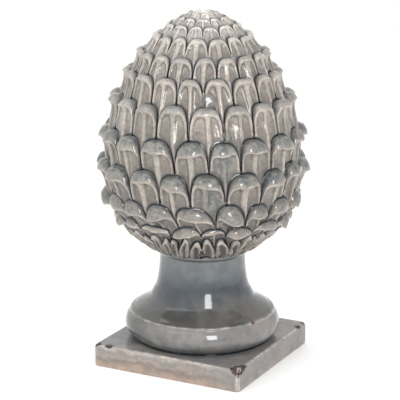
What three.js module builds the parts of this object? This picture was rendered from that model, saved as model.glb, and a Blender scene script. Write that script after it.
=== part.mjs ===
import * as THREE from 'three';

// Garden finial in glazed ceramic: an egg of overlapping scales on a turned pedestal with a square
// plinth, cast as one body. Sizes are millimetres, +Z is up, the underside rests on Z = 0, and angles
// around the axis run from the -Y side towards +X.

// Plinth
const plinthSide = 201.5;
const plinthHeight = 28.7;
const plinthCornerRadius = 4.5;
const plinthTopEdge = 3.8;
const plinthFootEdge = 1.5;
const cornerSteps = 4;

// Pedestal, from the plinth up: each height is counted from the form below it
const pedestalSegments = 48;
const rollRadius = 97.5;
const rollDepth = 57.6;
const rollWidestRise = 17.8;
const rollLowerHeight = 27.3;
const rollUpperHeight = 34.7;
const beadAboveWidest = 17.9;
const beadRelief = 1.1;
const beadHalfWidth = 2.6;
const filletRadius = 65;
const filletHeight = 7.4;
const cavettoHeight = 53.9;
const cavettoSpread = 9.7;
const stemRadius = 53.4;
const collarRadius = 56.8;
const collarRise = 2.5;
const collarHeight = 6;

// Egg of scales: its largest radius over the tips, and its height from the collar to the top row's seat
const eggRadius = 133;
const eggHeight = 293.5;
const capRadius = 8.5;
const capRise = 1.5;
const capSegments = 16;
const apexRise = 0.8;

// Scales, row by row from the top. The seat is the line where a scale leaves the body above it and the
// tip is its turned-out rim, each given as shares of the egg's radius and height. start is the angle of
// the first scale as a share of the row's pitch, turn is the slow twist in degrees, and cuts are the
// places down each face, as shares, at which the face is modelled.
const scaleRows = [
  { count: 8, seat: [0.113, 1.000], tip: [0.180, 0.991], start: 0, turn: -1.5, cuts: [] },
  { count: 12, seat: [0.188, 0.981], tip: [0.256, 0.975], start: 0.93, turn: -1.5, cuts: [] },
  { count: 14, seat: [0.290, 0.954], tip: [0.360, 0.949], start: 0.62, turn: -1.5, cuts: [] },
  { count: 16, seat: [0.391, 0.910], tip: [0.494, 0.905], start: 0.01, turn: -1.5, cuts: [0.5] },
  { count: 18, seat: [0.534, 0.843], tip: [0.631, 0.836], start: 0.5, turn: -1.6, cuts: [0.5] },
  { count: 18, seat: [0.643, 0.766], tip: [0.744, 0.757], start: 0, turn: -2, cuts: [0.5] },
  { count: 18, seat: [0.748, 0.665], tip: [0.880, 0.649], start: 0.5, turn: -1.2, cuts: [0.5] },
  { count: 18, seat: [0.853, 0.534], tip: [0.960, 0.494], start: 0, turn: -0.8, cuts: [0.3, 0.78] },
  { count: 18, seat: [0.883, 0.403], tip: [1.000, 0.357], start: 0.5, turn: 0.6, cuts: [0.3, 0.78] },
  { count: 18, seat: [0.876, 0.271], tip: [0.923, 0.203], start: 0, turn: 1.4, cuts: [0.3, 0.78] },
  { count: 18, seat: [0.801, 0.177], tip: [0.822, 0.114], start: 0.5, turn: 4.1, cuts: [0.55] },
  { count: 18, seat: [0.714, 0.106], tip: [0.743, 0.066], start: 0, turn: 4.6, cuts: [0.55] },
  { count: 18, seat: [0.579, 0.046], tip: [0.594, 0.026], start: 0.5, turn: 4.6, cuts: [] },
];

// Shape of one scale, as shares: across it runs from -1 to 1 between the grooves at its two sides.
const archPower = 3;
const archRound = 2.5;
const grooveRest = 0.035;
const unevenGrooveRest = 0.22;
const columnOffset = 0.2;
const reliefShare = 0.12;
const reliefPower = 8;
const grooveRelief = 0.08;
const hookPower = 2.5;
const hookRest = 0.03;
const hookFade = 3;
const faceFade = 2;
const channelShare = 0.05;
const channelCentre = 0.4;
const channelWidth = 0.26;
const tipVariation = 0.07;

const mix = (from, to, share) => from + (to - from) * share;
const degrees = Math.PI / 180;
const turnOver = 2 * Math.PI;

const rollWidest = plinthHeight + rollWidestRise;
const rollTop = rollWidest + rollUpperHeight;
const beadHeight = rollWidest + beadAboveWidest;
const cavettoTop = rollTop + filletHeight + cavettoHeight;
const eggFoot = cavettoTop + collarRise;

// The foot of the last row is the top of the pedestal, so that row's faces end on a plain ring.
const eggPoint = ([radiusShare, heightShare]) => [eggRadius * radiusShare, eggFoot + eggHeight * heightShare];
const seats = scaleRows.map((row) => eggPoint(row.seat));
seats.push([collarRadius, eggFoot]);
const turns = scaleRows.map((row) => row.turn * degrees);
turns.push(turns[turns.length - 1]);

const clampIndex = (index) => Math.max(0, Math.min(seats.length - 1, index));

// Body under the scales: a smooth curve through the seats, where position counts rows from the top.
function bodyPoint(position) {
  const index = Math.min(Math.floor(position), seats.length - 2);
  const share = position - index;
  const around = [-1, 0, 1, 2].map((step) => seats[clampIndex(index + step)]);
  return [0, 1].map((axis) => {
    const [before, from, to, after] = around.map((point) => point[axis]);
    const leave = (to - before) / 2;
    const arrive = (after - from) / 2;
    const square = share * share;
    const cube = square * share;
    return from * (2 * cube - 3 * square + 1) + leave * (cube - 2 * square + share)
      + to * (3 * square - 2 * cube) + arrive * (cube - square);
  });
}

function bodyTurn(position) {
  const index = Math.min(Math.floor(position), turns.length - 2);
  return mix(turns[index], turns[index + 1], position - index);
}

// Where an angle falls in a row: the scale it belongs to and how far across that scale it lies.
function across(rowIndex, angle) {
  const row = scaleRows[rowIndex];
  const place = angle / turnOver * row.count - row.start;
  const nearest = Math.round(place);
  return { scale: nearest, share: 2 * (place - nearest) };
}

// Body position of a row's seat line: an arch over each scale and a groove between two scales. The
// groove ends a little above the next row, and further above it where the scale count changes.
function seatPosition(rowIndex, angle) {
  if (rowIndex >= scaleRows.length) {
    return scaleRows.length;
  }
  const reach = Math.min(1, Math.abs(across(rowIndex, angle).share));
  const drop = 1 - Math.pow(1 - Math.pow(reach, archPower), 1 / archRound);
  const next = scaleRows[rowIndex + 1];
  const rest = next && next.count === scaleRows[rowIndex].count ? grooveRest : unevenGrooveRest;
  return rowIndex + drop * (1 - rest);
}

// Every scale is a little longer or shorter than the next one, as hand-trimmed work is.
function variation(rowIndex, scale, count) {
  const index = ((scale % count) + count) % count;
  return 1 + tipVariation * Math.sin(index * 2.4 + rowIndex * 1.7);
}

// One ring around the scales: down is 0 on the rim of the row and 1 on the seat of the next row, and
// null gives the row's own seat line.
function scaleLoop(rowIndex, down) {
  const row = scaleRows[rowIndex];
  const seat = seats[rowIndex];
  const next = seats[rowIndex + 1];
  const pitch = Math.hypot(next[0] - seat[0], next[1] - seat[1]);
  const outward = [(seat[1] - next[1]) / pitch, (next[0] - seat[0]) / pitch];
  const relief = pitch * reliefShare;
  const tip = eggPoint(row.tip).map((value, axis) => value - seat[axis]);
  const columns = [0, columnOffset, 1 - columnOffset, 1, 1 + columnOffset, 2 - columnOffset];
  const loop = [];
  for (let scale = 0; scale < row.count; scale += 1) {
    for (const column of columns) {
      const angle = (scale + row.start + column / 2) / row.count * turnOver;
      const place = across(rowIndex, angle);
      const reach = Math.min(1, Math.abs(place.share));
      const from = seatPosition(rowIndex, angle);
      const to = seatPosition(rowIndex + 1, angle);
      const position = down === null ? from : mix(from, to, down);
      const point = bodyPoint(position);
      if (down !== null) {
        const hook = (hookRest + (1 - hookRest) * (1 - Math.pow(reach, hookPower)))
          * variation(rowIndex, place.scale, row.count) * Math.pow(1 - down, hookFade);
        const fade = 1 - Math.pow(down, faceFade);
        const stand = relief * fade
          * (grooveRelief + (1 - grooveRelief) * (1 - Math.pow(reach, reliefPower)));
        const channel = Math.exp(-Math.pow((reach - channelCentre) / channelWidth, 2));
        const hollow = down > 0 ? pitch * channelShare * channel * fade : 0;
        [0, 1].forEach((axis) => {
          point[axis] += outward[axis] * (stand - hollow) + (tip[axis] - outward[axis] * relief) * hook;
        });
      }
      loop.push([angle + bodyTurn(position), point[0], point[1]]);
    }
  }
  return loop;
}

function circleLoop(radius, height, segments) {
  return Array.from({ length: segments }, (_, index) => [index / segments * turnOver, radius, height]);
}

// Square ring with rounded corners, given by half its side.
function squareLoop(half, cornerRadius, height) {
  const loop = [];
  for (let corner = 0; corner < 4; corner += 1) {
    for (let step = 0; step <= cornerSteps; step += 1) {
      const bend = (step / cornerSteps) * 90 * degrees;
      const along = half - cornerRadius + cornerRadius * Math.sin(bend);
      const ahead = half - cornerRadius + cornerRadius * Math.cos(bend);
      loop.push([corner * 90 * degrees + Math.atan2(along, ahead), Math.hypot(along, ahead), height]);
    }
  }
  return loop;
}

const rollInner = rollRadius - rollDepth;
const rollAt = (height) => {
  const span = height > rollWidest ? rollUpperHeight : rollLowerHeight;
  const share = Math.min(1, Math.abs(height - rollWidest) / span);
  return rollInner + rollDepth * Math.sqrt(1 - share * share);
};
const cavettoAt = (height) => {
  const share = Math.min(1, Math.max(0, (cavettoTop - height) / cavettoHeight));
  return stemRadius + cavettoSpread * (1 - Math.sqrt(1 - share * share));
};

function pedestalLoops() {
  const collarFoot = eggFoot - collarHeight;
  const profile = [
    [collarRadius, eggFoot],
    [collarRadius, eggFoot - collarHeight / 2],
    [cavettoAt(collarFoot), collarFoot],
  ];
  for (const share of [0.45, 0.68, 0.86, 1]) {
    const height = cavettoTop - cavettoHeight * share;
    profile.push([cavettoAt(height), height]);
  }
  profile.push([filletRadius, rollTop]);
  for (const share of [0.86, 0.7]) {
    const height = rollWidest + rollUpperHeight * share;
    profile.push([rollAt(height), height]);
  }
  profile.push([rollAt(beadHeight + beadHalfWidth) - beadRelief, beadHeight + beadHalfWidth]);
  profile.push([rollAt(beadHeight) + beadRelief, beadHeight]);
  profile.push([rollAt(beadHeight - beadHalfWidth), beadHeight - beadHalfWidth]);
  for (const share of [0.6, 1.1, 1.7]) {
    const height = mix(beadHeight, rollWidest, share);
    profile.push([rollAt(height), height]);
  }
  profile.push([rollAt(plinthHeight), plinthHeight]);
  return profile.map(([radius, height]) => circleLoop(radius, height, pedestalSegments));
}

function plinthLoops() {
  const half = plinthSide / 2;
  const edge = plinthTopEdge * (1 - Math.SQRT1_2);
  return [
    squareLoop(half - plinthTopEdge, plinthCornerRadius - plinthTopEdge, plinthHeight),
    squareLoop(half - edge, plinthCornerRadius - edge, plinthHeight - edge),
    squareLoop(half, plinthCornerRadius, plinthHeight - plinthTopEdge),
    squareLoop(half, plinthCornerRadius, plinthFootEdge),
    squareLoop(half - plinthFootEdge, plinthCornerRadius - plinthFootEdge, 0),
  ];
}

// Closed skin over a stack of rings from the top down. Two neighbouring rings may have different
// numbers of points: the strip between them always advances on the ring that lags behind in angle.
function skin(loops, topHeight) {
  const positions = [];
  const faces = [];
  const starts = loops.map((loop) => {
    const start = positions.length / 3;
    for (const [angle, radius, height] of loop) {
      positions.push(radius * Math.sin(angle), -radius * Math.cos(angle), height);
    }
    return start;
  });
  for (let level = 0; level + 1 < loops.length; level += 1) {
    joinLoops(loops[level], loops[level + 1], starts[level], starts[level + 1], faces);
  }
  const top = positions.length / 3;
  positions.push(0, 0, topHeight);
  loops[0].forEach((_, index) => {
    faces.push(top, starts[0] + index, starts[0] + (index + 1) % loops[0].length);
  });
  const foot = top + 1;
  const last = loops[loops.length - 1];
  const lastStart = starts[loops.length - 1];
  positions.push(0, 0, last[0][2]);
  last.forEach((_, index) => {
    faces.push(foot, lastStart + (index + 1) % last.length, lastStart + index);
  });
  return { positions, faces };
}

function joinLoops(upper, lower, upperStart, lowerStart, faces) {
  const upperAt = (index) => upper[index % upper.length][0] + Math.floor(index / upper.length) * turnOver;
  let first = 0;
  const lowerAt = (index) => {
    const place = index + first;
    return lower[((place % lower.length) + lower.length) % lower.length][0]
      + Math.floor(place / lower.length) * turnOver;
  };
  while (lowerAt(0) < upperAt(0) - 1e-9) {
    first += 1;
  }
  while (lowerAt(-1) > upperAt(0) - 1e-9) {
    first -= 1;
  }
  const lowerIndex = (index) => lowerStart + (((index + first) % lower.length) + lower.length) % lower.length;
  let high = 0;
  let low = 0;
  while (high < upper.length || low < lower.length) {
    const highAhead = (upperAt(high) + upperAt(high + 1)) / 2;
    const lowAhead = (lowerAt(low) + lowerAt(low + 1)) / 2;
    if (low >= lower.length || (high < upper.length && highAhead <= lowAhead + 1e-9)) {
      faces.push(upperStart + high % upper.length, lowerIndex(low), upperStart + (high + 1) % upper.length);
      high += 1;
    } else {
      faces.push(upperStart + high % upper.length, lowerIndex(low), lowerIndex(low + 1));
      low += 1;
    }
  }
}

const capHeight = eggFoot + eggHeight + capRise;
const loops = [circleLoop(capRadius, capHeight, capSegments)];
scaleRows.forEach((row, rowIndex) => {
  loops.push(scaleLoop(rowIndex, null), scaleLoop(rowIndex, 0));
  row.cuts.forEach((down) => loops.push(scaleLoop(rowIndex, down)));
});
loops.push(...pedestalLoops(), ...plinthLoops());

const { positions, faces } = skin(loops, capHeight + apexRise);
const geometry = new THREE.BufferGeometry();
geometry.setAttribute('position', new THREE.Float32BufferAttribute(positions, 3));
geometry.setIndex(faces);
geometry.computeVertexNormals();

const glaze = new THREE.MeshStandardMaterial({ color: 0x9d978c, roughness: 0.22, metalness: 0 });
glaze.name = 'grey_glaze';
const finial = new THREE.Mesh(geometry, glaze);
finial.name = 'acorn_finial';

const group = new THREE.Group();
group.add(finial);

export default group;
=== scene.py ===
import math
import bpy
import numpy as np
from mathutils import Matrix, Vector


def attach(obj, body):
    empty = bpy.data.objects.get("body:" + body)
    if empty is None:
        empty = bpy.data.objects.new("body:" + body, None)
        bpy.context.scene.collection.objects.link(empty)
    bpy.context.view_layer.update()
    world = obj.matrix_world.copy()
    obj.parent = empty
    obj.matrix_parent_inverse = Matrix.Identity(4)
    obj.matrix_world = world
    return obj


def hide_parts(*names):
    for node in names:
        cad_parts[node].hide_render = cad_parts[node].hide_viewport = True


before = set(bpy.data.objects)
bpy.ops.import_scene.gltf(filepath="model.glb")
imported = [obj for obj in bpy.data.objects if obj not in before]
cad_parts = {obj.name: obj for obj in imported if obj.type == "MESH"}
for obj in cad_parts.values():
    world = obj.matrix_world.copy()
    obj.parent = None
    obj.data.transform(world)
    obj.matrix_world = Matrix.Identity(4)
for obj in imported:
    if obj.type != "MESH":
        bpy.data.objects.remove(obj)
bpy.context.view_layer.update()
print("frame loaded")

# One glazed ceramic piece. Lengths in mm, angles in degrees.
finial = {
    # size of the egg and of its cap
    "columns": 432,             # points around a ring
    "columnCrowding": 0.4,      # how far the points gather at the grooves
    "loopCrowding": 1.35,       # how far the loops down a face gather at its top
    "eggRadius": 133.0,
    "eggHeight": 293.5,
    "eggFoot": 145.0,
    "capRise": 1.5,
    "capRadius": 8.5,
    "apexRise": 0.8,
    # rings of the cap: share of capRadius, height above the cap's level, distance from the groove in cm
    "capRings": [(0.35, 0.75, 0.9), (0.7, 0.45, 0.6), (1.0, 0.0, 0.25), (1.12, -0.9, 0.06)],
    # rows of scales from the top: count, seat radius, seat height, tip radius, tip height (shares of the egg),
    # start, turn, arch power, loops down a face, share of the tip's turn-out, darkness of the groove,
    # thickness of glaze on the ledge, irregularity
    "rows": [
        (8, 0.113, 1.000, 0.180, 0.991, 0.00, -1.5, 2.4, 4, 0.4, 0.4, 0.0, 2.0),
        (12, 0.188, 0.981, 0.256, 0.975, 0.93, -1.5, 2.6, 5, 0.5, 0.65, 0.0, 2.0),
        (14, 0.290, 0.954, 0.360, 0.949, 0.62, -1.5, 2.7, 6, 0.6, 0.85, 0.1, 2.0),
        (16, 0.391, 0.910, 0.494, 0.905, 0.01, -1.5, 3.0, 8, 0.7, 1.0, 0.3, 1.6),
        (18, 0.534, 0.843, 0.631, 0.838, 0.50, -1.6, 3.3, 10, 0.85, 1.0, 0.5, 1.0),
        (18, 0.643, 0.766, 0.744, 0.760, 0.00, -2.0, 3.3, 10, 0.9, 1.0, 0.65, 1.0),
        (18, 0.748, 0.665, 0.886, 0.650, 0.50, -1.2, 3.3, 11, 0.9, 1.0, 0.8, 1.0),
        (18, 0.853, 0.534, 0.972, 0.488, 0.00, -0.8, 3.4, 11, 1.0, 1.0, 1.0, 1.2),
        (18, 0.883, 0.403, 1.000, 0.357, 0.50, 0.6, 3.3, 11, 1.0, 1.0, 1.0, 1.6),
        (18, 0.876, 0.271, 0.923, 0.208, 0.00, 1.4, 3.2, 11, 0.95, 1.0, 0.6, 2.4),
        (18, 0.801, 0.175, 0.826, 0.122, 0.50, 4.1, 2.8, 11, 0.9, 1.0, 0.45, 3.0),
        (42, 0.738, 0.120, 0.754, 0.104, 0.30, 4.6, 2.2, 14, 0.8, 1.0, 0.1, 5.0),
        (42, 0.482, 0.013, 0.496, 0.006, 0.80, 4.6, 2.4, 4, 0.5, 1.0, 0.1, 2.0),
    ],
    "fullCount": 18,            # scales in a full row; a row with more of them is one of narrow leaves
    "fullPitch": 34.0,          # height of a row from which widths in mm hold in full
    # seat lines: the arches between a row of scales and the row above it
    "archRound": 2.5,
    "grooveRest": 0.035,        # height left below an arch, as a share of the row's height
    "unevenRest": 0.22,         # the same where the next row has another count
    "gapShare": 0.06,           # half width of the gap between two scales, as a share of half a scale
    "gapReach": 8.0,            # how far to each side the distance to a seat line is looked for
    "archShift": 0.07,          # how far an arch leans to one side, as a share of half a scale
    "archLift": 0.025,          # how far an arch sits high or low, as a share of the row's height
    "unevenWidth": 0.045,       # how far the sides of a scale shift, as a share of its width
    # face of a scale
    "relief": 0.12,             # how far it stands off the body, as a share of the row's height
    "faceWidth": 0.97,
    "faceCrown": 0.12,
    "faceSink": 0.4,            # share of the relief that is lost towards the foot of the face
    "grooveWall": 4.2,
    "bevel": 1.7,
    # turned-out tip
    "hookPower": 2.2,
    "hookReach": 0.36,          # how far down a face it is felt, as a share of the row's height
    "hookLonger": 0.6,          # how much further for each row below longHookRow
    "longHookRow": 7,
    "noseDepth": 2.0,
    "tipVariation": 0.07,
    "tipSwing": 0.16,           # how much further one side of a tip turns out than the other
    # tips that are pressed flat or drawn out: row, number of the scale, share of its size
    "oddTips": [(10, 1, 0.3), (10, 5, 1.3), (9, 15, 1.25), (8, 12, 0.75), (9, 2, 1.15), (10, 0, 1.2),
                (10, 17, 0.35)],
    # ledge between a seat line and the rim of the tip
    "seatInset": 1.1,
    "ledgeSteps": [0.0, 0.22, 0.5, 0.8],
    "ledgeSwell": 0.25,
    # hollows either side of the ridge down a face
    "lipWidth": 2.2,
    "lipTop": 1.3,              # height of the lip, as a share of its width
    "ridgeWidth": 1.5,
    "ridgeSpread": 2.4,
    "ridgeVariation": 0.5,
    "ridgeDrift": (1.2, 2.4),   # how far a ridge wanders aside: all along it, and more towards its foot
    "topFade": 9.0,             # depth over which the ridge narrows and the scoop ends
    "channelDepth": 0.1,        # as a share of the row's height
    "channelWall": 3.0,
    "channelCorner": 8.0,
    "channelFoot": 5.0,
    "channelFade": 0.45,
    "depthVariation": 0.4,
    "leafDepth": 0.5,           # how deep the hollow of a narrow leaf is, as a share of the others
    "scoop": 0.9,               # how much deeper a channel is at its top
    # unevenness of the clay: depth and size of its waves, and two more on the slumped lower rows
    "handWork": (0.5, 9.0),
    "slump": [(2.1, 6.0), (2.0, 3.2)],
    "slumpTop": 215.0,
    "slumpSpan": 45.0,
    "footSwirl": 10.5,          # how far the narrow leaves at the foot of the egg lean to one side
    "footSwirlTop": 178.0,
    # runs of thick glaze: angle, half width in degrees, lower and upper end, strength
    "runs": [(37.0, 8.0, 190.0, 320.0, 0.75), (3.0, 5.0, 160.0, 250.0, 0.5), (66.0, 6.0, 150.0, 240.0, 0.5),
             (150.0, 6.0, 200.0, 320.0, 0.5), (255.0, 7.0, 170.0, 300.0, 0.5)],
    # flat pools of glaze between scales: angle, radius, height, half width, azimuth and elevation of their face
    "pools": [(30.8, 102.4, 348.5, 9.5, 34.6, 15.2), (40.6, 118.0, 308.0, 5.0, 33.9, 16.6)],
    # collar and stem
    "collarRadius": 56.8,
    "collarRings": [(0.2, -0.5), (0.9, -2.2), (0.1, -4.2)],     # off collarRadius and eggFoot
    "neckStep": (1.0, -5.6),    # off stemRadius and eggFoot
    "stemRadius": 53.4,
    "cavettoTop": 142.5,
    "cavettoHeight": 53.9,
    "cavettoSpread": 9.7,
    "filletRadius": 65.0,
    "filletBlend": 5.0,
    # roll, with a bead around it
    "rollRadius": 97.5,
    "rollDepth": 57.6,
    "rollWidest": 46.5,
    "rollLower": 27.3,
    "rollUpper": 34.7,
    "beadHeight": 64.4,
    "beadLevels": [4.9, 3.4, 2.4, 1.2, 0.2, -0.9, -2.0, -3.0],              # its rings, off beadHeight
    "beadRelief": [(1.7, 0.0, 1.3), (-0.8, -3.0, 1.3), (-0.5, 3.2, 1.6)],   # depth, off beadHeight, width
    # the roll is made paler towards this side and darker on the far side
    "paleSide": 95.0,         # angle of the side where the glaze on the roll is thin
    # plinth
    "plinthSide": 201.5,
    "plinthHeight": 28.7,
    "plinthCorner": 4.5,
    "plinthEdge": 3.8,
    "plinthFoot": 1.5,
    # chips in the glaze: place, reach along each axis, depth
    "chips": [
        ((100.75, -100.75, 28.7), (16.0, 33.0, 11.0), 2.6),
        ((-98.0, -98.5, 28.7), (9.0, 9.0, 6.0), 1.4),
        ((-80.0, -99.5, 28.7), (9.0, 7.0, 5.5), 1.4),
        ((99.5, 97.0, 28.7), (8.0, 10.0, 7.0), 1.4),
        ((99.5, 78.0, 28.7), (7.0, 10.0, 6.0), 1.4),
        ((86.0, -29.1, 64.6), (6.0, 6.0, 3.4), 0.9),
    ],
}

rowValues = ("count", "seatRadius", "seatHeight", "tipRadius", "tipHeight", "start", "turn", "archPower",
             "loops", "tipShare", "grooveDark", "ledgeThick", "wild")
rows = [dict(zip(rowValues, values)) for values in finial["rows"]]


# radius and height in mm from shares of the egg's radius and height
def eggPoint(radius, height):
    return [finial["eggRadius"] * radius, finial["eggFoot"] + finial["eggHeight"] * height]


seats = np.array([eggPoint(row["seatRadius"], row["seatHeight"]) for row in rows]
                 + [[finial["collarRadius"], finial["eggFoot"]]])
tips = np.array([eggPoint(row["tipRadius"], row["tipHeight"]) for row in rows])
turns = np.radians([row["turn"] for row in rows] + [rows[-1]["turn"]])
capLevel = finial["eggFoot"] + finial["eggHeight"] + finial["capRise"]
rollInner = finial["rollRadius"] - finial["rollDepth"]


# smooth curve through the seats: cubic Hermite with slopes of half the distance between the neighbours
def bodyPoint(position):
    index = np.clip(np.floor(position).astype(int), 0, len(seats) - 2)
    share = (position - index)[..., None]
    pick = [seats[np.clip(index + step, 0, len(seats) - 1)] for step in (-1, 0, 1, 2)]
    leave = (pick[2] - pick[0]) / 2
    arrive = (pick[3] - pick[1]) / 2
    return (pick[1] * (2 * share**3 - 3 * share**2 + 1) + leave * (share**3 - 2 * share**2 + share)
            + pick[2] * (3 * share**2 - 2 * share**3) + arrive * (share**3 - share**2))


# shift that makes some scales wider than others: a sine of five waves around the row
def widthShift(row, angle):
    return finial["unevenWidth"] * rows[row]["wild"] * np.sin(5 * angle + row * 2.3 - 0.48)


# scale number and place across it, -1 to 1, from the angle times the count over a full turn
def across(row, angle):
    place = angle / (2 * np.pi) * rows[row]["count"] - rows[row]["start"] + widthShift(row, angle)
    scale = np.round(place)
    return np.mod(scale, rows[row]["count"]), 2 * (place - scale)


# one number per scale between -1 and 1: the sine of a stride that never repeats
def perScale(row, scale, stride, offset):
    return np.sin(scale * stride + row * 1.7 + offset)


# seat line: 1 - (1 - reach^power)^(1/round) of a row's height, level in the gap between two scales
def seatPosition(row, angle):
    if row >= len(rows):
        return np.full(angle.shape, float(len(rows)))
    scale, place = across(row, angle)
    wild = rows[row]["wild"]
    place = place + finial["archShift"] * wild * perScale(row, scale, 4.7, 0.9) * (1 - place**2)
    reach = np.minimum(1, np.abs(place) / (1 - finial["gapShare"]))
    drop = 1 - (1 - reach ** rows[row]["archPower"]) ** (1 / finial["archRound"])
    even = row + 1 < len(rows) and rows[row + 1]["count"] == rows[row]["count"]
    rest = finial["grooveRest"] if even else finial["unevenRest"]
    lift = finial["archLift"] * wild * perScale(row, scale, 3.9, 0.4) * (1 - reach**2)
    return row + drop * (1 - rest) + lift


# distance to a row's seat line: the least hypot(aside, gap) over steps to both sides; way is 1 for points
# above the line and -1 for points below it
def seatGap(row, angle, radius, position, pitch, way):
    nearest = np.full(angle.shape, 1e3)
    for aside in np.linspace(-finial["gapReach"], finial["gapReach"], 17):
        gap = way * (seatPosition(row, angle + aside / radius) - position) * pitch
        nearest = np.minimum(nearest, np.hypot(aside, np.clip(gap, 0, None)))
    return nearest


# cubic step from 0 at low to 1 at high
def smoothStep(low, high, value):
    share = np.clip((value - low) / (high - low), 0, 1)
    return share * share * (3 - 2 * share)


# slow unevenness: products of sines along three directions, between about -1 and 1
def handNoise(x, y, z, size):
    a = np.sin((x + 0.6 * y) / size + 1.3) * np.sin((z - 0.4 * x) / size + 0.5)
    b = np.sin((y - 0.5 * z) / (0.62 * size) + 2.1) * np.sin((x + 0.3 * z) / (0.71 * size))
    return 0.6 * a + 0.4 * b


# angles around a ring; in the full rows they gather at the middles and sides of the scales
def ringAngles(row):
    full = finial["fullCount"]
    angle = np.arange(finial["columns"]) / finial["columns"] * 2 * np.pi
    if row < len(rows) and rows[row]["count"] != full:
        return angle
    angle = angle - finial["columnCrowding"] / (2 * full) * np.sin(2 * full * angle)
    return angle - widthShift(row, angle) * np.pi / (full / 2) if row < len(rows) else angle


# lean of the leaves at the foot: a sine of four waves around the axis that grows down from footSwirlTop
def footLean(angle, height):
    share = np.clip((finial["footSwirlTop"] - height) / (finial["footSwirlTop"] - finial["eggFoot"]), 0, 1)
    return math.radians(finial["footSwirl"]) * share**1.3 * np.sin(4 * angle - 1.9) * smoothStep(0, 1, share * 4)


# (radius, height) points turned around the axis, from the -Y side towards +X
def toSpace(points, angles):
    return np.stack([points[..., 0] * np.sin(angles), -points[..., 0] * np.cos(angles), points[..., 1]], -1)


# the same ring again for each loop of a grid
def loopsOf(ring, loops):
    return np.repeat(ring[None, :], loops, 0)


# Masks for a grid of rings, all 0. In mask: distance from the seat line and from the rim, both in cm,
# thickness of the glaze, hollow. In tone: darkness of the groove, bare side of the plinth, tone of the scale, chip.
def blankMasks(rings):
    return np.zeros(rings.shape[:2] + (4,)), np.zeros(rings.shape[:2] + (4,))


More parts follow.
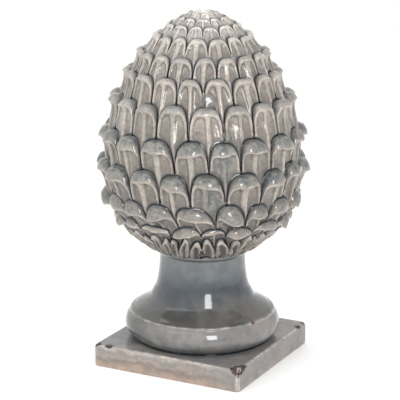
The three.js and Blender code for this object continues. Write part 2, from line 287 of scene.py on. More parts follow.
# One row of scales, from its seat line over the ledge and down the face to just above the next seat line.
# A face is the body + outward * (stand - hollows) + hookVector * hook, each of them worked out below.
def scaleRow(row):
    values, seat, following = rows[row], seats[row], seats[row + 1]
    count, wild = values["count"], values["wild"]
    leaves = count > finial["fullCount"]
    pitch = np.hypot(*(following - seat))
    outward = np.array([seat[1] - following[1], following[0] - seat[0]]) / pitch
    relief = pitch * finial["relief"]
    hookVector = tips[row] - seat - outward * relief
    small = min(1.0, pitch / finial["fullPitch"])

    # grid of the face: down goes from 0 at this seat line towards 1 at the next one
    loops = values["loops"]
    down = np.concatenate([[0.0], (np.arange(1, loops) / loops) ** finial["loopCrowding"]])[:, None]
    angle = ringAngles(row)[None, :] * (1 - down) + ringAngles(row + 1)[None, :] * down
    scale, place = across(row, angle)
    reach = np.abs(place)
    start, end = seatPosition(row, angle), seatPosition(row + 1, angle)
    position = start + (end - start) * down
    below = down * (np.maximum(end - start, 0) * pitch)
    body = bodyPoint(position)
    radius = body[..., 0]
    fromRim = seatGap(row, angle, radius, position, pitch, -1)
    fromNext = seatGap(row + 1, angle, radius, position, pitch, 1)

    # hollows either side of the middle ridge, with round tops: corner - hypot(corner - a, corner - b)
    driftAll, driftFoot = finial["ridgeDrift"]
    drift = small * perScale(row, scale, 7.1, 0.2) * (driftAll + driftFoot * down)
    aside = place * radius * np.pi / count + drift
    nearTop = np.exp(-below / (finial["topFade"] * small))
    ridge = (finial["ridgeWidth"] + finial["ridgeSpread"] * nearTop) * small
    ridge = ridge * (1 + finial["ridgeVariation"] * perScale(row, scale, 5.9, 2.0))
    if leaves:
        ridge = -finial["channelCorner"]
    lip = finial["lipWidth"] * small
    beside = np.minimum(fromRim - lip, np.abs(aside) - ridge)
    under = below - lip * finial["lipTop"]
    corner = finial["channelCorner"] * small
    inside = corner - np.hypot(np.clip(corner - under, 0, None), np.clip(corner - beside, 0, None))
    channel = smoothStep(0, finial["channelWall"] * small, inside)
    channel = channel * smoothStep(0, finial["channelFoot"] * small, fromNext)
    channel = channel * (1 - finial["channelFade"] * down)
    depth = (finial["leafDepth"] if leaves else 1.0) * pitch * finial["channelDepth"] * (0.8 + 0.2 * wild)
    depth = depth * (1 + finial["depthVariation"] * perScale(row, scale, 6.3, 0.7))

    # the face stands off the body, crowned across, and sinks at its sides, at the next groove and downwards
    sides = 1 - np.clip(reach / finial["faceWidth"], 0, 1) ** 8
    stand = relief * sides * (1 - finial["faceCrown"] * place**2)
    stand = stand * smoothStep(-0.5, finial["grooveWall"] * small, fromNext)
    stand = stand * (1 - finial["faceSink"] * down)

    # the tip turns out as 1 - reach^hookPower across it, and fades as exp(-below / hookReach)
    swing = 1 + finial["tipSwing"] * wild * perScale(row, scale, 5.3, 1.1) * place
    nose = finial["noseDepth"] * small
    hookReach = finial["hookReach"] * (1 + finial["hookLonger"] * max(0, row - finial["longHookRow"]))
    fall = (1 - down) * np.exp(-np.clip(below - nose, 0, None) / (hookReach * pitch))
    tipSize = values["tipShare"] + finial["tipVariation"] * wild * perScale(row, scale, 2.4, 0.0)
    for oddRow, number, size in finial["oddTips"]:
        tipSize = tipSize * np.where((row == oddRow) & (scale == number), size, 1)
    hook = np.clip((1 - reach ** finial["hookPower"]) * tipSize * swing, 0, None) * fall
    lift = stand - depth * channel * (0.8 + finial["scoop"] * nearTop)
    point = body + outward * lift[..., None] + hookVector * hook[..., None]

    # the ledge swells between the seat line and the rim: base + span * step + normal * swell * sin(pi * step)
    steps = np.array(finial["ledgeSteps"])[:, None]
    angleSeat = ringAngles(row)
    seatAt = seatPosition(row, angleSeat)
    base = bodyPoint(seatAt) - outward * (finial["seatInset"] * small)
    span = point[0] - base
    length = np.hypot(span[:, 0], span[:, 1])
    normal = np.stack([-span[:, 1], span[:, 0]], -1) / np.maximum(length, 1e-6)[:, None]
    swell = finial["ledgeSwell"] * length * np.sin(np.pi * steps)
    ledge = base + span * steps[..., None] + normal * swell[..., None]
    points = np.concatenate([ledge, point])
    angles = np.concatenate([loopsOf(angleSeat, len(steps)), angle])
    levels = np.concatenate([loopsOf(seatAt, len(steps)), position])
    angles = angles + np.interp(levels, np.arange(len(turns)), turns)
    rings = toSpace(points, angles + footLean(angles, points[..., 1]))

    # a short ledge has its rim moved out by the bevel; glaze gathers on a long one and thins off over the rim
    mask, tone = blankMasks(rings)
    bevel = finial["bevel"] * small * (1 - smoothStep(2, 6, length))
    onLedge = values["ledgeThick"] * np.clip(length / 9, 0, 1)
    numbers = np.concatenate([loopsOf(scale[0], len(steps)), scale])
    mask[..., 0] = np.concatenate([length * steps, np.minimum(fromNext, fromRim + length)]) / 10
    mask[..., 1] = np.concatenate([length * (1 - steps) + bevel, np.abs(fromRim - bevel)]) / 10
    mask[..., 2] = np.concatenate([loopsOf(onLedge, len(steps)), onLedge * np.exp(-fromRim / 0.8)])
    mask[len(steps):, :, 3] = channel
    tone[..., 0] = values["grooveDark"]
    tone[..., 2] = 0.5 + 0.5 * np.sin((numbers * 0.618 + row * 0.37) * 6.1)
    return rings, mask, tone


# a point behind the plane of a pool moves out to it, fully inside the pool's width and not at all outside
def fillPools(points, mask):
    for angle, radius, height, width, azimuth, elevation in finial["pools"]:
        a, turn, tilt = np.radians([angle, azimuth, elevation])
        middle = np.array([radius * np.sin(a), -radius * np.cos(a), height])
        normal = np.array([np.sin(turn) * np.cos(tilt), -np.cos(turn) * np.cos(tilt), np.sin(tilt)])
        away = points - middle
        behind = np.clip(-(away @ normal), 0, 9)
        share = 1 - smoothStep(0.75, 1.15, np.linalg.norm(away + behind[..., None] * normal, axis=-1) / width)
        points = points + normal * (behind * share)[..., None]
        inside = share * np.clip(behind * 2, 0, 1)
        mask[..., :3] = np.maximum(mask[..., :3], inside[..., None])
        mask[..., 3] *= 1 - inside
    return points


# the egg: a low cap, then the rows of scales, moved in and out by handNoise like modelled clay
def eggRings():
    count = finial["columns"]
    shares, rises, grooves = np.array(finial["capRings"]).T[:, :, None]
    cap = [np.repeat(finial["capRadius"] * shares, count, 1), np.repeat(capLevel + rises, count, 1)]
    cap = toSpace(np.stack(cap, -1), loopsOf(np.arange(count) / count * 2 * np.pi, len(shares)))
    mask, tone = blankMasks(cap)
    mask[..., 0] = grooves
    mask[..., 1] = 0.6
    tone[..., 0] = 0.16
    groups = [(cap, mask, tone)] + [scaleRow(row) for row in range(len(rows))]
    egg, mask, tone = (np.concatenate(part) for part in zip(*groups))
    x, y, z = egg[..., 0], egg[..., 1], egg[..., 2]
    flat = np.hypot(x, y)
    radial = np.stack([x, y, 0 * z], -1) / np.maximum(flat, 1)[..., None]

    # a run of glaze is exp(-(aside / width)^2), wavers by 4 degrees and fades out at both ends
    turnAt = np.degrees(np.arctan2(x, -y))
    for angle, width, low, high, share in finial["runs"]:
        aside = (turnAt - angle + 180 + 4 * np.sin(z / 17)) % 360 - 180
        run = share * np.exp(-((aside / width) ** 2))
        run = run * smoothStep(low - 20, low + 10, z) * smoothStep(0, 25, high - z)
        mask[..., 2] = np.maximum(mask[..., 2], run)

    lower = smoothStep(0, finial["slumpSpan"], finial["slumpTop"] - z)
    lower = lower * smoothStep(finial["eggFoot"] + 2, finial["eggFoot"] + 11, z)
    (deep, deepSize), (shallow, shallowSize) = finial["slump"]
    slump = deep * handNoise(x, y, z, deepSize) + shallow * handNoise(y, x, z, shallowSize)
    depth, size = finial["handWork"]
    uneven = depth * np.clip(flat / 30, 0.1, 1) * handNoise(x, y, z, size) + lower * slump
    return fillPools(egg + radial * uneven[..., None], mask), mask, tone


# radius of the roll: a half ellipse with its own height above and below the widest line
def rollAt(height):
    span = np.where(height > finial["rollWidest"], finial["rollUpper"], finial["rollLower"])
    share = np.clip(np.abs(height - finial["rollWidest"]) / span, 0, 1)
    return rollInner + finial["rollDepth"] * np.sqrt(1 - share**2)


# radius of the stem: straight above, a quarter ellipse spreading towards the roll
def cavettoAt(height):
    share = np.clip((finial["cavettoTop"] - height) / finial["cavettoHeight"], 0, 1)
    return finial["stemRadius"] + finial["cavettoSpread"] * (1 - np.sqrt(1 - share**2))


# Profile from the collar down to the plinth. A mean over filletBlend softens the hollow above the roll, and
# the bead is a sum of depth * exp(-(away / width)^2).
def pedestalProfile():
    foot, bead = finial["eggFoot"], finial["beadHeight"]
    rollTop = finial["rollWidest"] + finial["rollUpper"]
    stemEnd = finial["cavettoTop"] - finial["cavettoHeight"]
    collar = np.array(finial["collarRings"]) + [finial["collarRadius"], foot]
    neck = np.array([finial["neckStep"]]) + [finial["stemRadius"], foot]
    height = np.concatenate([np.linspace(foot - 7.5, stemEnd + 12, 12),
                             np.linspace(stemEnd + 8, rollTop - 10, 14),
                             bead + np.array(finial["beadLevels"]),
                             np.linspace(bead - 5.0, finial["plinthHeight"], 15)])
    onStem, onRoll = np.linspace(foot, stemEnd, 40), np.linspace(rollTop - 4.4, bead, 20)
    knots = np.concatenate([onStem, [rollTop + 0.3], onRoll])
    radii = np.concatenate([cavettoAt(onStem), [finial["filletRadius"]], rollAt(onRoll)])
    blend = finial["filletBlend"] * np.linspace(-1, 1, 9)
    smooth = np.interp(-(height[:, None] + blend), -knots, radii).mean(1)
    soft = smoothStep(bead + 3, bead + 9, height)
    radius = smooth * soft + rollAt(height) * (1 - soft)
    for depth, above, width in finial["beadRelief"]:
        radius = radius + depth * np.exp(-(((height - bead - above) / width) ** 2))
    return np.concatenate([collar, neck, np.stack([radius, height], -1)])


# the turned pedestal: the same profile all around; its glaze is thick on the stem and thin on the roll
def pedestalRings():
    profile = pedestalProfile()
    half = finial["columns"] // 2
    angles = np.arange(half) / half * 2 * np.pi + turns[-1]
    rings = toSpace(np.repeat(profile[:, None, :], half, 1), loopsOf(angles, len(profile)))
    height = rings[..., 2]
    bead, foot, neck = finial["beadHeight"], finial["plinthHeight"], finial["eggFoot"] - 5.4
    levels = [foot, 36, 44, 56, bead, bead + 1.4, bead + 6, 80, 118, 136, neck, finial["eggFoot"]]
    thickness = [1.0, 0.8, 0.5, 0.26, 0.14, 0.7, 0.95, 1.0, 1.0, 0.75, 0.7, 0.45]
    # the roll's glaze thinner towards one side and thicker on the far side, so paler and darker there
    towardsPale = np.cos(angles - math.radians(finial["paleSide"]))
    towardsPale = towardsPale * (1 - smoothStep(bead - 2, bead + 2, height))
    mask, tone = blankMasks(rings)
    mask[..., 0] = np.minimum(height - foot, np.abs(height - neck)) / 10
    mask[..., 1] = 0.07 + np.abs(height - bead) / 10
    mask[..., 2] = np.clip(np.interp(height, levels, thickness) + 0.15 - 0.5 * towardsPale, 0, 1)
    tone[..., 0] = np.where(height < bead + 3, 1.0, 0.4)
    return rings, mask, tone


# ring of a square with rounded corners: a quarter circle and a straight side, turned four times; its points
# gather at the corners
def squareRing(half, corner, height):
    cornerPoints = 18
    straightPoints = finial["columns"] // 4 - cornerPoints
    bend = np.arange(cornerPoints) / cornerPoints * np.pi / 2
    straight = np.arange(straightPoints) / straightPoints
    straight = straight - 0.13 * np.sin(2 * np.pi * straight)
    x = np.concatenate([half - corner + corner * np.sin(bend), np.full(straightPoints, half)])
    y = np.concatenate([-(half - corner + corner * np.cos(bend)),
                        -(half - corner) + straight * 2 * (half - corner)])
    quarters = [np.stack([x * c - y * s, x * s + y * c], -1) for c, s in ((0, -1), (1, 0), (0, 1), (-1, 0))]
    ring = np.concatenate(quarters)
    return np.concatenate([ring, np.full((len(ring), 1), height)], 1)


# the plinth: from the foot of the roll outwards, over the edge, down the sides and under; on top each ring is
# circle * (1 - share) + square * share
def plinthRings(innerRadius):
    count = finial["columns"]
    half, edge, height = finial["plinthSide"] / 2, finial["plinthEdge"], finial["plinthHeight"]
    corner, foot = finial["plinthCorner"], finial["plinthFoot"]
    angles = np.arange(count) / count * 2 * np.pi + turns[-1]
    circle = np.stack([np.sin(angles) * innerRadius, -np.cos(angles) * innerRadius, np.full(count, height)], -1)
    inner = squareRing(half - edge, corner - edge + 1.2, height)

    # the square rings start at the point that is nearest in angle to the start of the circle
    way = np.arctan2(inner[:, 0], -inner[:, 1])
    shift = -int(np.argmin(np.abs(np.angle(np.exp(1j * (way - angles[0]))))))
    inner = np.roll(inner, shift, 0)
    outwards = [0, 0.03, 0.1, 0.2, 0.34, 0.5, 0.65, 0.77, 0.86, 0.92, 0.96, 1.0]
    rings = [circle * (1 - share) + inner * share for share in outwards]
    bends = np.radians([22, 45, 68, 90])
    rims = [(edge * (1 - np.sin(bend)), height - edge * (1 - np.cos(bend))) for bend in bends]
    sides = [(0.0, level) for level in np.linspace(height - edge, foot, 8)[1:]]
    under = [(0.45, 0.45), (foot, 0.0), (40.0, 0.0)]
    for inset, level in rims + sides + under:
        rings.append(np.roll(squareRing(half - inset, max(0.8, corner - inset + 0.3), level), shift, 0))
    rings = np.stack(rings)

    # pale rims run along the top edge and down the corners; glaze on the top is thicker towards -X
    x, y, z = rings[..., 0], rings[..., 1], rings[..., 2]
    fromRoll = np.hypot(x, y) - innerRadius
    fromEdge = np.minimum(half - np.abs(x), half - np.abs(y))
    fromTop = np.hypot(np.clip(fromEdge - 1.5, 0, None), height - 1.0 - z)
    fromCorner = np.hypot(half - np.abs(x), half - np.abs(y)) - 3.4
    top = smoothStep(height - 3, height - 0.5, z)
    mask, tone = blankMasks(rings)
    mask[..., 0] = np.where(top > 0, np.clip(fromRoll, 0, 10), 10) / 10
    mask[..., 1] = np.minimum(fromTop, fromCorner) / 10
    mask[..., 2] = np.where(top > 0.5, 0.24 - 0.16 * np.clip(x / 90, -1, 1), 0.15)
    tone[..., 0] = 1
    tone[..., 1] = (1 - top) * (0.9 - 0.65 * smoothStep(40, 100, x))
    return rings, mask, tone


# share and depth of the chips at each point, from 1 - |dx|/a - |dy|/b - |dz|/c where that is above 0
def chipField(points):
    share, depth = np.zeros(points.shape[:-1]), np.zeros(points.shape[:-1])
    deepest = max(deep for place, reach, deep in finial["chips"])
    for place, reach, deep in finial["chips"]:
        near = np.clip(1 - np.abs((points - place) / reach).sum(-1), 0, 1)
        share = np.maximum(share, near * deep / deepest)
        depth = np.maximum(depth, deep * smoothStep(0, 0.35, near))
    return share, depth


# quads between neighbouring rings of equal size; start is the first point of the upper ring
def ringQuads(start, count, levels):
    column = np.arange(count)
    after = (column + 1) % count
    upper = (start + np.arange(levels) * count)[:, None]
    lower = upper + count
    return np.stack([upper + column, lower + column, lower + after, upper + after], -1).reshape(-1, 4)


# a ring of count points meets one of half as many: one quad and one triangle for each wide step
def halvingFaces(fineStart, coarseStart, count, fineAbove):
    wide = np.arange(count // 2)
    a, b, c = fineStart + 2 * wide, fineStart + 2 * wide + 1, fineStart + (2 * wide + 2) % count
    low, high = coarseStart + wide, coarseStart + (wide + 1) % (count // 2)
    quads = np.stack([b, low, high, c], -1)
    tris = np.stack([a, low, b], -1)
    return (quads, tris) if fineAbove else (quads[:, ::-1], tris[:, ::-1])


# a smooth mesh; its points in mm become metres here
def makeMesh(name, points, quads, tris):
    mesh = bpy.data.meshes.new(name)
    corners = np.concatenate([quads.ravel(), tris.ravel()]).astype(np.int32)
    totals = np.concatenate([np.full(len(quads), 4), np.full(len(tris), 3)]).astype(np.int32)
    mesh.vertices.add(len(points))
    mesh.vertices.foreach_set("co", (points / 1000).astype(np.float32).ravel())
    mesh.loops.add(len(corners))
    mesh.loops.foreach_set("vertex_index", corners)
    mesh.polygons.add(len(totals))
    mesh.polygons.foreach_set("loop_start", np.concatenate([[0], np.cumsum(totals)[:-1]]).astype(np.int32))
    mesh.polygons.foreach_set("loop_total", totals)
    mesh.update(calc_edges=True)
    mesh.polygons.foreach_set("use_smooth", np.ones(len(totals), dtype=bool))
    return mesh


# four values per point, kept between 0 and 1
def addMask(mesh, name, values):
    layer = mesh.color_attributes.new(name, "FLOAT_COLOR", "POINT")
    layer.data.foreach_set("color", np.clip(values, 0, 1).astype(np.float32).ravel())


# egg, pedestal and plinth joined ring to ring, with a pole that closes each end, and the chips knocked in
# towards the middle of the plinth
def buildFinial():
    count = finial["columns"]
    half = count // 2
    groups = [eggRings(), pedestalRings(), plinthRings(pedestalProfile()[-1, 0] + 0.8)]
    egg, pedestal, plinth = (rings for rings, mask, tone in groups)
    starts = np.cumsum([0] + [rings.shape[0] * rings.shape[1] for rings in (egg, pedestal, plinth)])
    apex, foot = starts[3], starts[3] + 1
    poles = ([[0, 0, capLevel + finial["apexRise"]], [0, 0, 0]],
             [[0.9, 0.6, 0, 0], [1, 1, 0, 0]],
             [[0.16, 0, 0, 0], [0, 0.9, 0, 0]])
    points, mask, tone = (np.concatenate([part.reshape(-1, part.shape[-1]) for part in parts] + [np.array(ends)])
                          for parts, ends in zip(zip(*groups), poles))
    chipped, chipDepth = chipField(points)
    tone[:, 3] = chipped
    inward = np.array([0, 0, finial["plinthHeight"] / 2]) - points
    inward = inward / np.linalg.norm(inward, axis=1, keepdims=True)
    points = points + inward * chipDepth[:, None] * (0.8 + 0.4 * handNoise(*points.T, 1.3)[:, None])

    column = np.arange(count)
    after = (column + 1) % count
    lastEgg, lastPedestal, lastPlinth = starts[1] - count, starts[2] - half, starts[3] - count
    neckQuads, neckTris = halvingFaces(lastEgg, starts[1], count, True)
    footQuads, footTris = halvingFaces(starts[2], lastPedestal, count, False)
    quads = np.concatenate([ringQuads(0, count, len(egg) - 1), ringQuads(starts[1], half, len(pedestal) - 1),
                            ringQuads(starts[2], count, len(plinth) - 1), neckQuads, footQuads])
    capTris = np.stack([np.full(count, apex), column, after], -1)
    underTris = np.stack([np.full(count, foot), lastPlinth + after, lastPlinth + column], -1)
    tris = np.concatenate([capTris, neckTris, footTris, underTris])
    mesh = makeMesh("glazedFinial", points, quads, tris)
    addMask(mesh, "glazeMask", mask)
    addMask(mesh, "glazeTone", tone)
    obj = bpy.data.objects.new("glazedFinial", mesh)
    bpy.context.scene.collection.objects.link(obj)
    print("finial:", len(points), "points,", 2 * len(quads) + len(tris), "triangles")
    return obj


glazed = buildFinial()


# Glaze. Colours are linear; the lists go up the piece as (height in m, colour).
glaze = {
    # scales
    # faces lighter towards the top, most of all on the cap: partly the glaze, partly painted light from above
    "faceColors": [(0.15, (0.245, 0.218, 0.193)), (0.21, (0.295, 0.263, 0.232)), (0.27, (0.362, 0.322, 0.281)),
                   (0.34, (0.43, 0.388, 0.340)), (0.40, (0.415, 0.38, 0.343)), (0.437, (0.78, 0.735, 0.68))],
    "ledgeColors": [(0.15, (0.060, 0.066, 0.064)), (0.26, (0.080, 0.094, 0.098)),
                    (0.36, (0.135, 0.138, 0.135)), (0.42, (0.25, 0.24, 0.22))],
    "ledgeLight": (0.24, 0.225, 0.20, 1),
    "oliveColor": (0.235, 0.240, 0.205, 1),
    "pinkColor": (0.36, 0.275, 0.235, 1),
    "speckColor": (0.12, 0.105, 0.09, 1),
    "rimColor": (0.53, 0.475, 0.415, 1),
    "bandColor": (0.105, 0.120, 0.132, 1),      # glaze that gathers along a groove
    "poolColor": (0.006, 0.008, 0.011, 1),      # and the dark line at its bottom
    "crackColor": (0.11, 0.085, 0.07, 1),
    # pedestal and plinth
    # stem darker and bluer in the middle: partly the glaze, partly a painted dark reflection
    "stemColors": [(0.030, (0.10, 0.105, 0.105)), (0.072, (0.085, 0.083, 0.080)),
                   (0.088, (0.066, 0.072, 0.080)), (0.104, (0.052, 0.062, 0.076)),
                   (0.122, (0.105, 0.120, 0.130)), (0.139, (0.155, 0.160, 0.160))],
    "rollColor": (0.240, 0.220, 0.203, 1),
    # sides paler at the top edge: partly thin glaze there, partly a painted highlight
    "sideColors": [(0.0, (0.41, 0.305, 0.24)), (0.006, (0.33, 0.255, 0.205)), (0.0125, (0.21, 0.168, 0.14)),
                   (0.018, (0.30, 0.262, 0.235)), (0.0235, (0.245, 0.22, 0.20)), (0.0287, (0.42, 0.375, 0.345))],
    "chipColor": (0.035, 0.018, 0.012, 1),
    "chipInnerColor": (0.36, 0.31, 0.27, 1),
    # brightness that is left where a part is darkened; in the channels, the hollows and under the rims it is
    # painted shade
    "faceDark": 0.72,
    # painted shade in the channels of the faces
    "channelPaintedShade": 0.9,
    # painted shade in the hollows of the lower rows, under their ledges
    "hollowPaintedShade": 0.55,         # in the hollows of the lower rows
    # painted shade on the channel walls under the rims
    "wallPaintedShade": 0.5,
    "ledgeDark": 0.6,
    # dark blotches on the stem: partly mottled glaze, partly a painted dark reflection
    "stemMottleAndReflection": 0.7,
    "rollDark": 0.85,
    "sideDark": 0.75,
    # share of a colour where it is strongest
    "olive": 0.3,
    "pink": 0.25,
    "facePatches": 0.45,
    "ridgePale": (0.26, 0.08),  # on the lower rows, and on the upper rows
    "ledgePatches": 0.8,
    "ledgeOverRim": 0.45,
    "stemPatches": 0.18,
    "rollMix": (0.1, 0.5),
    "rimPale": 0.75,
    "specks": 0.5,
    "cracks": 0.3,
    "band": 0.85,
    # widths in cm, like the distances in the masks
    "bandWidth": 0.42,
    "poolWidth": 0.31,
    "rimWidth": 0.19,
    # scale and detail of each noise
    "broad": (20.0, 2.0),
    "tint": (48.0, 3.0),
    "middle": (85.0, 4.0),
    "mottle": (210.0, 3.0),
    "fine": (420.0, 2.0),
    "crackSize": 95.0,
    "collarLevel": (0.1445, 0.1455),    # where the stem turns into the egg, in m
    "roughness": (0.1, 0.42),           # of the glaze, and of the bare body in a chip
    "bumpStrength": (0.1, 0.25),        # on the pedestal, and on the egg
    "bumpDistance": 0.0015,
}


# a function that adds a node with its settings, input values and links
def nodeMaker(tree):
    def make(kind, values=None, links=None, **settings):
        node = tree.nodes.new(kind)
        for key, value in settings.items():
            setattr(node, key, value)
        for key, value in (values or {}).items():
            node.inputs[key].default_value = value
        for key, socket in (links or {}).items():
            tree.links.new(socket, node.inputs[key])
        return node
    return make


# One glaze for the whole piece, laid up in turn: faces, ledges, stem and roll, sides of the plinth, pale rims,
# specks, cracks, dark grooves, chips. The masks of the mesh and the height say where each one shows.
def glazeMaterial():
    mat = bpy.data.materials.new("greyGlaze")
    mat.use_nodes = True
    tree = mat.node_tree
    make = nodeMaker(tree)
    bsdf = tree.nodes["Principled BSDF"]

    # a plain value is set on the input, a socket is linked to it
    def feed(node, index, value):
        if isinstance(value, (int, float, tuple)):
            node.inputs[index].default_value = value
        else:
            tree.links.new(value, node.inputs[index])

    def calc(operation, a, b):
        node = make("ShaderNodeMath", operation=operation)
        feed(node, 0, a)
        feed(node, 1, b)
        return node.outputs[0]

    def add(a, b):
        return calc("ADD", a, b)

    def times(a, b):
        return calc("MULTIPLY", a, b)

    # 1 - value
    def rest(value):
        return calc("SUBTRACT", 1.0, value)

    # (value - middle) * amount, to sway another value both ways
    def sway(value, amount, middle=0.5):
        return times(calc("SUBTRACT", value, middle), amount)

    # cubic step from out[0] at low to out[1] at high
    def ramp(value, low, high, out=(0.0, 1.0)):
        node = make("ShaderNodeMapRange", {"From Min": low, "From Max": high, "To Min": out[0], "To Max": out[1]},
                    {"Value": value}, interpolation_type="SMOOTHSTEP")
        return node.outputs["Result"]

    # inputs 0, 6 and 7 of a colour mix are its factor and two colours
    def mix(factor, a, b, blend="MIX"):
        node = make("ShaderNodeMix", data_type="RGBA", blend_type=blend)
        for index, value in ((0, factor), (6, a), (7, b)):
            feed(node, index, value)
        return node.outputs[2]

    def shade(factor, color, dark):
        return mix(factor, color, (dark, dark, dark, 1), "MULTIPLY")

    # colour ramp over the heights of its stops
    def byHeight(stops, value):
        low, high = stops[0][0], stops[-1][0]
        share = make("ShaderNodeMapRange", {"From Min": low, "From Max": high}, {"Value": value})
        node = make("ShaderNodeValToRGB", links={"Fac": share.outputs["Result"]})
        elements = node.color_ramp.elements
        while len(elements) < len(stops):
            elements.new(0.5)
        for element, (level, color) in zip(elements, stops):
            element.position = (level - low) / (high - low)
            element.color = (*color, 1)
        return node.outputs["Color"]

    place = make("ShaderNodeTexCoord").outputs["Object"]
    height = make("ShaderNodeSeparateXYZ", links={"Vector": place}).outputs["Z"]

    def noise(name):
        scale, detail = glaze[name]
        return make("ShaderNodeTexNoise", {"Scale": scale, "Detail": detail}, {"Vector": place}).outputs["Fac"]

    # the four masks of one colour attribute
    def attribute(name):
        node = make("ShaderNodeAttribute", attribute_name=name)
        parts = make("ShaderNodeSeparateColor", links={"Color": node.outputs["Color"]}).outputs
        return parts[0], parts[1], parts[2], node.outputs["Alpha"]

    seatDistance, rimDistance, thick, channel = attribute("glazeMask")
    strength, bareSide, scaleTone, chip = attribute("glazeTone")
    broad, tint, middle, mottle, fine = (noise(name) for name in ("broad", "tint", "middle", "mottle", "fine"))
    crackle = make("ShaderNodeTexVoronoi", {"Scale": glaze["crackSize"]}, {"Vector": place},
                   feature="DISTANCE_TO_EDGE").outputs["Distance"]
    patches = add(middle, sway(mottle, 1.1))
    wavy = add(height, sway(broad, 0.03))
    onEgg = ramp(height, *glaze["collarLevel"])

    # faces: thin beige glaze with olive and pink in it, pale on the ridge, with painted shade in the channels, the
    # hollows and under the rims
    faceShade = ramp(add(middle, sway(scaleTone, 0.25)), 0.35, 0.68)
    face = shade(faceShade, byHeight(glaze["faceColors"], wavy), glaze["faceDark"])
    face = mix(ramp(tint, 0.5, 0.68, (0.0, glaze["olive"])), face, glaze["oliveColor"])
    face = mix(ramp(tint, 0.48, 0.32, (0.0, glaze["pink"])), face, glaze["pinkColor"])
    face = mix(ramp(patches, 0.54, 0.28, (0.0, glaze["facePatches"])), face, glaze["speckColor"])
    onRidge = times(rest(channel), ramp(thick, 0.6, 0.2))
    face = mix(times(onRidge, ramp(height, 0.2, 0.32, glaze["ridgePale"])), face, glaze["rimColor"])
    # painted shade: the channels darker, more so in the hollows of the lower rows
    face = shade(channel, face, glaze["channelPaintedShade"])
    face = shade(times(channel, ramp(height, 0.175, 0.26, (1.0, 0.0))), face, glaze["hollowPaintedShade"])
    # painted shade on the walls where a channel drops from the rim
    paintedWallShade = calc("POWER", times(times(channel, rest(channel)), 4.0), 1.8)
    face = shade(paintedWallShade, face, glaze["wallPaintedShade"])

    # ledges: thick blue-grey glaze
    ledge = byHeight(glaze["ledgeColors"], wavy)
    ledge = mix(ramp(patches, 0.3, 0.75, (0.0, glaze["ledgePatches"])), ledge, glaze["ledgeLight"])
    ledge = mix(ramp(rimDistance, 0.1, 0.7, (glaze["ledgeOverRim"], 0.0)), ledge, face)
    ledge = shade(ramp(seatDistance, 0.2, 0.9, (1.0, 0.0)), ledge, glaze["ledgeDark"])

    # pedestal: thick glaze on the stem, thin on the roll; the stem's darker bluish middle and its blotches are
    # partly glaze, partly a painted dark reflection
    stem = shade(ramp(tint, 0.4, 0.6, (0.0, 0.7)), byHeight(glaze["stemColors"], wavy), glaze["stemMottleAndReflection"])
    stem = mix(ramp(broad, 0.48, 0.36, (0.0, glaze["stemPatches"])), stem, glaze["ledgeLight"])
    rollShare = ramp(add(broad, sway(tint, 0.7)), 0.4, 0.62, glaze["rollMix"])
    roll = mix(rollShare, glaze["rollColor"], glaze["bandColor"])
    thin = mix(onEgg, shade(faceShade, roll, glaze["rollDark"]), face)
    onPlinth = ramp(height, 0.032, 0.029)
    thickShare = add(add(thick, sway(middle, 0.5)), times(sway(tint, 0.9), onPlinth))
    base = mix(ramp(thickShare, 0.05, 0.95), thin, mix(onEgg, stem, ledge))

    # sides of the plinth
    side = byHeight(glaze["sideColors"], add(height, sway(tint, 0.026, 0.45)))
    side = shade(ramp(patches, 0.65, 0.35, (0.0, 0.6)), side, glaze["sideDark"])
    base = mix(bareSide, base, side)

    # pale rims, specks and fine cracks
    rim = ramp(add(rimDistance, sway(middle, 0.22)), 0.0, glaze["rimWidth"], (1.0, 0.0))
    rimShare = times(ramp(strength, 0.0, 1.0, (0.0, glaze["rimPale"])), rest(times(thick, 0.3)))
    rimShare = times(rimShare, ramp(middle, 0.32, 0.55, (1.0, 0.35)))
    base = mix(times(rim, rimShare), base, glaze["rimColor"])
    base = mix(times(ramp(fine, 0.55, 0.68, (0.0, glaze["specks"])), onEgg), base, glaze["speckColor"])
    crack = times(ramp(crackle, 0.0, 0.03, (glaze["cracks"], 0.0)), ramp(broad, 0.42, 0.6))
    base = mix(crack, base, glaze["crackColor"])

    # glaze gathers along the grooves, dark at the bottom
    fromSeat = add(seatDistance, sway(middle, 0.14))
    band = times(ramp(fromSeat, 0.14, glaze["bandWidth"], (glaze["band"], 0.0)), strength)
    base = mix(band, base, glaze["bandColor"])
    groove = times(ramp(fromSeat, 0.08, glaze["poolWidth"], (1.0, 0.0)), strength)
    base = mix(groove, base, glaze["poolColor"])

    # chips: dark bare body, with pale bits where they are deepest
    broken = add(add(chip, sway(fine, 0.5)), sway(mottle, 0.7))
    bare = ramp(times(broken, ramp(chip, 0.0, 0.1)), 0.06, 0.14)
    bits = times(ramp(add(mottle, times(fine, 0.4)), 0.67, 0.73), ramp(chip, 0.4, 0.55))
    base = mix(bare, base, mix(bits, glaze["chipColor"], glaze["chipInnerColor"]))
    tree.links.new(base, bsdf.inputs["Base Color"])
    tree.links.new(ramp(bare, 0.0, 1.0, glaze["roughness"]), bsdf.inputs["Roughness"])

    waves = add(add(times(middle, 0.7), times(mottle, 0.25)), times(fine, 0.1))
    bumpShare = ramp(height, *glaze["collarLevel"], glaze["bumpStrength"])
    bump = make("ShaderNodeBump", {"Distance": glaze["bumpDistance"]}, {"Height": waves, "Strength": bumpShare})
    tree.links.new(bump.outputs["Normal"], bsdf.inputs["Normal"])
    print("glaze made")
    return mat


glazed.data.materials.append(glazeMaterial())
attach(glazed, "root")
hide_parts("acorn_finial")

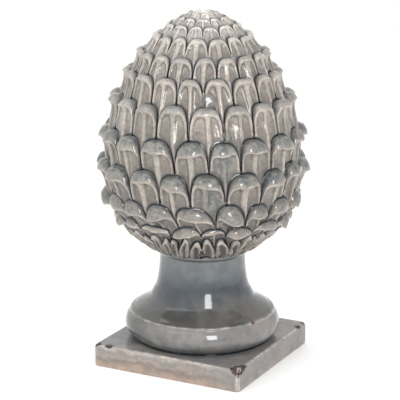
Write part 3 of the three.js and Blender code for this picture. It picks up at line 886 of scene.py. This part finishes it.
# floor, light and camera, in metres and degrees
stage = {
    "cameraYaw": 27.356, "cameraPitch": 14.841, "cameraRoll": 0.129, "cameraDistance": 1.9984,
    "cameraAside": -0.00332, "cameraUp": 0.01274, "lens": 144.0, "aimHeight": 0.19,
    "floorHalf": 2.4, "floorColor": (0.98, 0.98, 0.98, 1),
    # name, azimuth, elevation, distance, width, height, watts
    "lamps": [("softbox", 41.5, 24.3, 1.7, 0.40, 0.76, 15), ("overhead", -45, 68, 1.7, 1.7, 1.7, 9)],
    "lampAimHeight": 0.15,
    "worldLeft": 1.3, "worldRight": 0.77,       # strength of the surroundings to either side
}


# unit vector towards an azimuth, from the -Y side towards +X, and an elevation, in radians
def towards(azimuth, elevation):
    return Vector((math.sin(azimuth) * math.cos(elevation), -math.cos(azimuth) * math.cos(elevation),
                   math.sin(elevation)))


# right, up and back of the camera; the roll turns right and up around back
def cameraAxes():
    yaw, pitch, roll = (math.radians(stage[key]) for key in ("cameraYaw", "cameraPitch", "cameraRoll"))
    back = towards(yaw, pitch)
    right = Vector((math.cos(yaw), math.sin(yaw), 0))
    up = back.cross(right)
    return (right * math.cos(roll) + up * math.sin(roll), up * math.cos(roll) - right * math.sin(roll), back)


right, up, back = cameraAxes()
cameraData = bpy.data.cameras.new("camera")
cameraData.sensor_width = 36
cameraData.lens = stage["lens"]
camera = bpy.data.objects.new("camera", cameraData)
bpy.context.scene.collection.objects.link(camera)
place = Vector((0, 0, stage["aimHeight"])) + back * stage["cameraDistance"]
place = place + right * stage["cameraAside"] + up * stage["cameraUp"]
camera.matrix_world = Matrix.Translation(place) @ Matrix((right, up, back)).transposed().to_4x4()
bpy.context.scene.camera = camera

far = stage["floorHalf"]
floorMesh = bpy.data.meshes.new("floor")
floorMesh.from_pydata([(-far, -far, 0), (far, -far, 0), (far, far, 0), (-far, far, 0)], [], [(0, 1, 2, 3)])
floor = bpy.data.objects.new("floor", floorMesh)
bpy.context.scene.collection.objects.link(floor)
floorMat = bpy.data.materials.new("floor")
floorMat.use_nodes = True
floorMat.node_tree.nodes["Principled BSDF"].inputs["Base Color"].default_value = stage["floorColor"]
floorMesh.materials.append(floorMat)


# a rectangular lamp that faces the piece
def areaLight(name, azimuth, elevation, distance, width, height, watts):
    data = bpy.data.lights.new(name, "AREA")
    data.shape = "RECTANGLE"
    data.size, data.size_y, data.energy = width, height, watts
    lamp = bpy.data.objects.new(name, data)
    way = towards(math.radians(azimuth), math.radians(elevation))
    lamp.location = way * distance + Vector((0, 0, stage["lampAimHeight"]))
    lamp.rotation_euler = way.to_track_quat("Z", "Y").to_euler()
    bpy.context.scene.collection.objects.link(lamp)


for lampValues in stage["lamps"]:
    areaLight(*lampValues)

# white surroundings, brighter towards the left of the camera
world = bpy.data.worlds.new("studio")
world.use_nodes = True
worldMake = nodeMaker(world.node_tree)
background = world.node_tree.nodes["Background"]
toRight = worldMake("ShaderNodeVectorMath", {1: tuple(right)}, operation="DOT_PRODUCT", links={
    0: worldMake("ShaderNodeTexCoord").outputs["Generated"]}).outputs["Value"]
brightness = worldMake("ShaderNodeMapRange", {
    "From Min": -1.0, "To Min": stage["worldLeft"], "To Max": stage["worldRight"]}, {"Value": toRight})
world.node_tree.links.new(brightness.outputs["Result"], background.inputs["Strength"])
background.inputs["Color"].default_value = (1, 1, 1, 1)
bpy.context.scene.world = world
bpy.context.scene.view_settings.view_transform = "Standard"
print("stage set")
